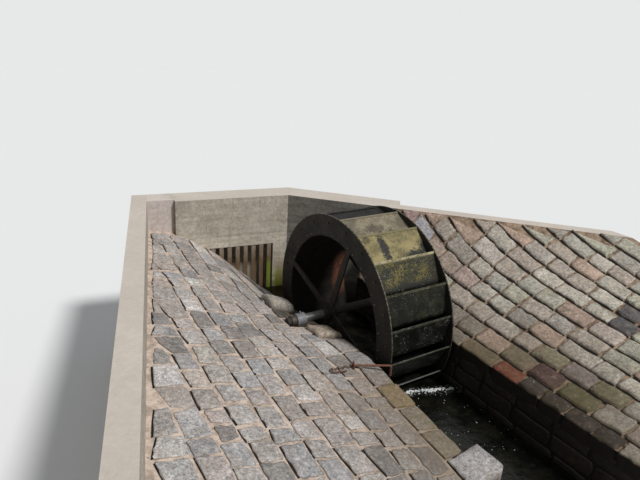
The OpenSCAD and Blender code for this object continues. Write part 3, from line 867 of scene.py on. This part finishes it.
def pit_blocks(side):
    """Blocks on a pit wall's inner face. side is -1 for the left wall and 1 for the right one."""
    name = "left" if side < 0 else "right"
    dice = random.Random(41 + side)
    height = surface_under([name + "_pit_wall"])
    far = head_line(-PIT_HALF) - WALL_JOINT if side < 0 else RETURN_END_Y - END_JOINT
    first_z, last_z, bed_z, under_coping = 0.30, 1.42, 1.30, 0.09

    def place(y, z, lift):
        y = max(y, -RACE_END + EDGE)
        return Vector((side * (PIT_HALF - lift), y, z))

    stone = Stone(place, dice, rounding=0.018, lump=0.004, sink=0.006, skirt=0.02)
    pile = Pile(name + "_wall_blocks")
    z0 = first_z
    while z0 < last_z:
        z1 = z0 + dice.uniform(0.19, 0.24)
        for y0, y1 in lengths(-RACE_END + END_JOINT, far, 0.32, 0.5, dice, SLOT):
            middle = (y0 + y1) / 2
            cap = min(height(side * PIT_HALF, y) for y in (y0 + 0.01, middle, y1 - 0.01)) - under_coping
            if abs(middle) < SLOT_HALF:
                cap = min(cap, bed_z)
            top = cap if cap - z1 < 0.09 else min(z1, cap)
            if top - z0 < 0.07:
                continue
            joint = dice.uniform(0.006, 0.011)
            corners = [Vector((y + uy * joint, z + vz * joint)) for y, z, uy, vz in around(y0, y1, z0, top)]
            if side < 0:
                corners = [corners[1], corners[0], corners[3], corners[2]]
            tint = vary(dice.choice(WALL_TINTS), dice, 0.2)
            stone.lay(pile, corners, dice.uniform(0.004, 0.010), 0.003, 0.0, tint)
        z0 = z1
    pile.build(stone_material("wet_block_stone_" + name, wet=0.85))


def turned(centre, outward, count, rings):
    """Points and faces of a form with count sides. rings are (radius, height) from its foot up."""
    turn = UP.rotation_difference(outward).to_matrix()
    points, faces = [], []
    for ring, (radius, rise) in enumerate(rings):
        for i in range(count):
            angle = math.tau * i / count
            spoke = Vector((math.cos(angle) * radius, math.sin(angle) * radius, rise))
            points.append(centre + turn @ spoke)
            if ring:
                j, low, high = (i + 1) % count, (ring - 1) * count, ring * count
                faces.append([low + i, low + j, high + j, high + i])
    return points, faces


def bolt(pile, centre, outward, across, thick):
    """A hexagonal nut with a rounded stub on it."""
    shares = [(1.0, 0.0), (1.0, 0.72), (0.86, 1.0), (0.52, 1.0), (0.5, 1.45), (0.3, 1.62)]
    rings = [(share * across / 2, rise * thick) for share, rise in shares]
    points, faces = turned(centre, outward, 6, rings)
    faces.append([len(points) - 6 + i for i in range(6)])
    pile.add(points, faces)


def dome(pile, centre, outward, radius, rise):
    """A rivet head."""
    shares = [(1.0, 0.0), (0.82, 0.6), (0.45, 0.92)]
    rings = [(share * radius, lift * rise) for share, lift in shares]
    points, faces = turned(centre, outward, 8, rings)
    tip, last = len(points), len(points) - 8
    points.append(centre + UP.rotation_difference(outward).to_matrix() @ Vector((0, 0, rise)))
    faces += [[last + i, last + (i + 1) % 8, tip] for i in range(8)]
    pile.add(points, faces)


def on_wheel(degrees, x, depth_y, height_z):
    """A point given beside a bucket's lip, turned to its place on the wheel."""
    turn = Matrix.Rotation(math.radians(degrees), 3, "X")
    return AXLE + turn @ Vector((x, depth_y, height_z))


def wheel_fastenings():
    """Nuts on the pads of both rings, rivets on the rings, and rivets along each bucket's lip."""
    nuts, rivets = Pile("pad_nuts"), Pile("lip_rivets")
    lip_normal = Vector((0, -math.sin(LIP_ANGLE), math.cos(LIP_ANGLE)))
    ring_rivet_r, ring_rivet_turn = 0.975, 3.2
    lip_first_x, lip_pitch, lip_depth, lip_r = -0.385, 0.11, -0.0055, 1.1882
    for i in range(BUCKETS):
        angle = FIRST_LIP + i * 360.0 / BUCKETS
        for side in (-1, 1):
            outward = Vector((side, 0, 0))
            spot = on_wheel(angle + 180.0 / BUCKETS, side * PAD_FACE, 0, PAD_RADIUS)
            bolt(nuts, spot, outward, 0.026, 0.009)
            for shift in (-ring_rivet_turn, ring_rivet_turn):
                spot = on_wheel(angle + shift, side * (WHEEL_HALF - 0.0005), 0, ring_rivet_r)
                dome(rivets, spot, outward, 0.011, 0.006)
        turn = Matrix.Rotation(math.radians(angle), 3, "X")
        for k in range(8):
            spot = on_wheel(angle, lip_first_x + lip_pitch * k, lip_depth, lip_r)
            dome(rivets, spot, turn @ lip_normal, 0.007, 0.004)
    nut_iron = metal_material("nut_iron", (44, 41, 36), (84, 80, 70), 0.45, 0.2, 0.4)
    nuts.build(nut_iron, "wheel", smooth=False)
    rivets.build(metal_material("rivet_iron", (52, 48, 40), (118, 112, 98), 0.35, 0.3, 0.4), "wheel")


def torus_link(pile, centre, long_dir, flat_dir, length, width, wire):
    """One oval link of a chain."""
    side_dir = flat_dir.cross(long_dir).normalized()
    n, m = 16, 6
    points, faces = [], []
    for i in range(n):
        angle = math.tau * i / n
        mid = (long_dir * math.cos(angle) * (length / 2 - wire)
               + side_dir * math.sin(angle) * (width / 2 - wire))
        out = (long_dir * math.cos(angle) * width + side_dir * math.sin(angle) * length).normalized()
        for j in range(m):
            turn = math.tau * j / m
            points.append(centre + mid + out * math.cos(turn) * wire + flat_dir * math.sin(turn) * wire)
            k, l = (i + 1) % n, (j + 1) % m
            faces.append([i * m + j, k * m + j, k * m + l, i * m + l])
    pile.add(points, faces)


CHAIN_PATH = [(-0.90, -1.125), (-0.945, -1.10), (-0.985, -1.13), (-1.03, -1.105), (-1.07, -1.14),
              (-1.115, -1.12), (-1.15, -1.15), (-1.135, -1.185), (-1.09, -1.18), (-1.05, -1.175),
              (-1.01, -1.185), (-0.97, -1.17)]


def chain():
    """The short rusty chain that lies on the setts beside the rod, two links to a stretch."""
    place = on_bank("left")
    pile = Pile("short_chain")
    spots = [Vector(p) for p in CHAIN_PATH]
    lift, reach = 0.026, 0.01
    for first, second in zip(spots, spots[1:]):
        run = (second - first).normalized()
        for k, lying in enumerate((True, False)):
            spot = first.lerp(second, (k + 0.5) / 2)
            ahead = place(spot.x + run.x * reach, spot.y + run.y * reach, 0.0).z
            slope = (ahead - place(spot.x, spot.y, 0.0).z) / reach
            along = Vector((run.x, run.y, slope)).normalized()
            flat = UP if lying else along.cross(UP).normalized()
            flat = (flat - along * flat.dot(along)).normalized()
            torus_link(pile, place(spot.x, spot.y, lift), along, flat, 0.036, 0.024, 0.0035)
    pile.build(metal_material("chain_rust", (70, 52, 44), (112, 92, 80), 0.6, 0.2, 0.8))


def water():
    """Still dark water in the pit, slightly rippled, up to the walls, with an upright face
    down to the floor at the open end of the race."""
    pile = Pile("pit_water")
    across, along = 28, 130
    points = []
    for j in range(along + 1):
        for i in range(across + 1):
            x = mix(-PIT_HALF + 0.002, PIT_HALF - 0.002, i / across)
            far = min(head_line(x), (HEAD_Y - x) if x > 0 else 9.0) - WITHIN
            y = mix(-RACE_END + EDGE, far, j / along)
            ripple = noise.noise(Vector((x * 7, y * 4, 3.0))) * 0.006
            ripple += noise.noise(Vector((x * 19, y * 12, 7.0))) * 0.003
            points.append(Vector((x, y, WATER_Z + ripple)))
    faces = grid_faces(across + 1, along + 1)
    faces += [face[::-1] for face in grid_faces(across + 1, 2, len(points))]
    floor_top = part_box("pit_floor")[1][2] + 0.001
    brim = [point.copy() for point in points[:across + 1]]
    points += brim + [Vector((point.x, point.y, floor_top)) for point in brim]
    pile.add(points, faces)
    pile.build(water_material())


def froth():
    """White froth where the buckets meet the water, and a few drops further down."""
    dice = random.Random(5)
    pile = Pile("froth")
    for i in range(300):
        near = i < 240
        x = dice.uniform(-0.40, 0.48) if near else dice.uniform(-0.5, 0.5)
        if near:
            y = FROTH_Y - FROTH_SLANT * max(x, 0.0) - abs(dice.gauss(0.0, 0.03))
        else:
            y = dice.uniform(-2.3, -1.2)
        size = dice.uniform(0.004, 0.013) if near else dice.uniform(0.002, 0.005)
        dome(pile, Vector((x, y, WATER_Z + 0.001)), UP, size, size * 0.6)
    pile.build(foam_material())


def finish_frame():
    """Gives each node of the model its finish."""
    def paint(material, *names):
        for name in names:
            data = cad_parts[name].data
            if not data.materials:
                data.materials.append(material)
            for i in range(len(data.materials)):
                data.materials[i] = material

    def both(name):
        return "left_" + name, "right_" + name

    paint(dark_iron_material("ring_iron", (22, 21, 19), (38, 36, 31), wet=0.2, edge_from=1.187),
          *both("shroud"))
    paint(dark_iron_material("arm_iron", (26, 24, 22), (42, 38, 33), wet=0.1), *both("arms"), *both("hub"))
    paint(sole_material(), "sole_plate")
    paint(bucket_material(
        "bucket_lichen", (142, 132, 110), (34, 32, 24), (106, 99, 84), cover=0.59, wet=0.1,
        lip=(118, 110, 92), ends=0.35,
        marks=[(-0.05, -0.23, 0.15, 0.06, 0.6), (0.16, -0.31, 0.12, 0.03, 0.7)]), "bucket_01")
    paint(bucket_material(
        "bucket_pale", (158, 144, 102), (20, 21, 15), (116, 108, 76), cover=0.57, wet=0.15,
        lip=(108, 100, 76), ends=0.25, specks=0.5,
        marks=[(-0.13, -0.55, 0.055, 0.12, 1.0), (0.28, -0.64, 0.18, 0.04, 1.0),
               (0.42, -0.61, 0.07, 0.06, 1.0), (-0.33, -0.45, 0.05, 0.02, 0.5)]), "bucket_02")
    # Bucket 3's pale lip: wear, and painted light on the bar's sunlit top
    paint(bucket_material(
        "bucket_mottled", (132, 119, 64), (17, 18, 11), (66, 64, 36), cover=0.49, wet=0.45,
        lip=(160, 150, 118), bar_from=1.172, specks=0.6,
        marks=[(0.0, -0.91, 0.70, 0.04, 1.0), (0.38, -0.84, 0.10, 0.10, 0.8)]), "bucket_03")
    paint(bucket_material("bucket_damp", (46, 47, 29), (14, 14, 10), (22, 23, 15), cover=0.49, wet=0.45,
                          lip=(72, 71, 54)), "bucket_04")
    paint(bucket_material("bucket_wet", (44, 44, 33), (13, 13, 10), (20, 20, 15), cover=0.47, wet=1.0,
                          lip=(72, 72, 62)), *["bucket_%02d" % n for n in range(5, BUCKETS - 1)])
    # Buckets 19 and 20 are painted near black, as shade
    paint(bucket_material("bucket_shade", (20, 20, 16), (12, 12, 10), (16, 16, 13), cover=0.46, wet=0.0,
                          lip=(28, 27, 22)), "bucket_19", "bucket_20")
    paint(metal_material("bright_steel", (130, 132, 130), (98, 98, 95), 0.40, 0.6, 0.2, bright_span=(0.52, 0.93)),
          "shaft")
    paint(metal_material("grey_paint", (116, 116, 120), (94, 93, 96), 0.5, 0.0, 0.12), *both("bearing"))
    paint(metal_material("collar_iron", (52, 46, 41), (76, 67, 60), 0.6, 0.1, 0.4), *both("collar"))
    paint(dark_iron_material("bed_iron", (52, 48, 42), (78, 68, 56)), *both("bearing_bed"))
    paint(bar_material(), "sluice_grate")
    paint(metal_material("rod_rust", (112, 72, 56), (84, 54, 43), 0.75, 0.1, 0.6),
          "retaining_rod", "rod_plate")
    paint(bedding_material("left_bedding", (206, 187, 171), (164, 148, 134)), "left_bank", "left_pit_wall")
    paint(bedding_material("right_bedding", (160, 139, 119), (110, 91, 76)), "right_bank", "right_pit_wall")
    pale = (186, 178, 163), (166, 158, 143)
    paint(concrete_material("head_concrete", *pale, stains=0.8, damp=0.5), "headwall")
    # The return wall's faces towards the pit are painted darker, as shade
    paint(concrete_material("shade_concrete", (136, 132, 124), (112, 109, 102), damp=0.9, outside=pale),
          "return_wall")
    paint(concrete_material("kerb_concrete", (188, 179, 166), (170, 161, 149)), "left_kerb")
    paint(concrete_material("kerb_line", (190, 180, 166), (166, 158, 146)), "right_kerb")
    paint(concrete_material("floor_concrete", (96, 92, 84), (80, 76, 68), damp=0.8), "pit_floor")


def camera():
    """The photograph's camera, found from the wheel's rings and the kerbs."""
    yaw, pitch, roll = CAMERA_YAW, CAMERA_PITCH, CAMERA_ROLL
    ahead = Vector((math.sin(yaw) * math.cos(pitch), math.cos(yaw) * math.cos(pitch), -math.sin(pitch)))
    level = Vector((math.cos(yaw), -math.sin(yaw), 0.0))
    upward = level.cross(ahead)
    right = level * math.cos(roll) + upward * math.sin(roll)
    up = upward * math.cos(roll) - level * math.sin(roll)
    data = bpy.data.cameras.new("photo_camera")
    data.sensor_width = 36.0
    data.lens = CAMERA_LENS
    data.clip_end = 200.0
    lens = new_object("photo_camera", data)
    lens.matrix_world = Matrix.Translation(CAMERA_AT) @ Matrix((right, up, -ahead)).transposed().to_4x4()
    bpy.context.scene.camera = lens


def studio():
    """A pale floor, a high key lamp from behind the camera's right, and an even pale sky."""
    mesh = bpy.data.meshes.new("pale_floor")
    reach = 60.0
    corners = [(-reach, -reach, 0), (reach, -reach, 0), (reach, reach, 0), (-reach, reach, 0)]
    mesh.from_pydata(corners, [], [(0, 1, 2, 3)])
    floor = new_object("pale_floor", mesh)
    floor.location.z = -0.001
    ground = Shader("floor_paper", roughness=0.95, specular=0.1)
    ground.colour = (FLOOR_TONE, FLOOR_TONE, FLOOR_TONE * 0.99, 1.0)
    mesh.materials.append(ground.finish())

    lamp = bpy.data.lights.new("key_lamp", "SUN")
    lamp.angle = math.radians(9)
    lamp.energy = KEY_LEVEL * math.pi
    key = new_object("key_lamp", lamp)
    key.location = SUN_TOWARDS * 12.0
    key.rotation_euler = SUN_TOWARDS.to_track_quat("Z", "Y").to_euler()

    world = bpy.data.worlds.new("pale_sky")
    world.use_nodes = True
    tree = world.node_tree
    tree.nodes.clear()

    def add(kind):
        return tree.nodes.new("ShaderNode" + kind)

    def background(colour, strength):
        node = add("Background")
        node.inputs["Color"].default_value = colour
        node.inputs["Strength"].default_value = strength
        return node.outputs[0]

    level = [FLOOR_TONE * (KEY_LEVEL * SUN_TOWARDS.z + SKY_LEVEL * part) for part in SKY_COLOUR]
    shown = background((level[0], level[1], level[2] * 0.99, 1.0), 1.0)
    light = background(SKY_COLOUR + (1.0,), SKY_LEVEL)
    rays = add("LightPath").outputs
    seen = rays["Is Camera Ray"]
    for ray in ("Is Glossy Ray", "Is Transmission Ray"):
        either = add("Math")
        either.operation = "MAXIMUM"
        tree.links.new(seen, either.inputs[0])
        tree.links.new(rays[ray], either.inputs[1])
        seen = either.outputs[0]
    pick = add("MixShader")
    for source, socket in zip((seen, light, shown), pick.inputs):
        tree.links.new(source, socket)
    tree.links.new(pick.outputs[0], add("OutputWorld").inputs["Surface"])
    bpy.context.scene.world = world
    bpy.context.scene.view_settings.view_transform = "Standard"


camera()
studio()
finish_frame()
left_setts()
right_setts()
pit_blocks(-1)
pit_blocks(1)
wheel_fastenings()
chain()
water()
froth()
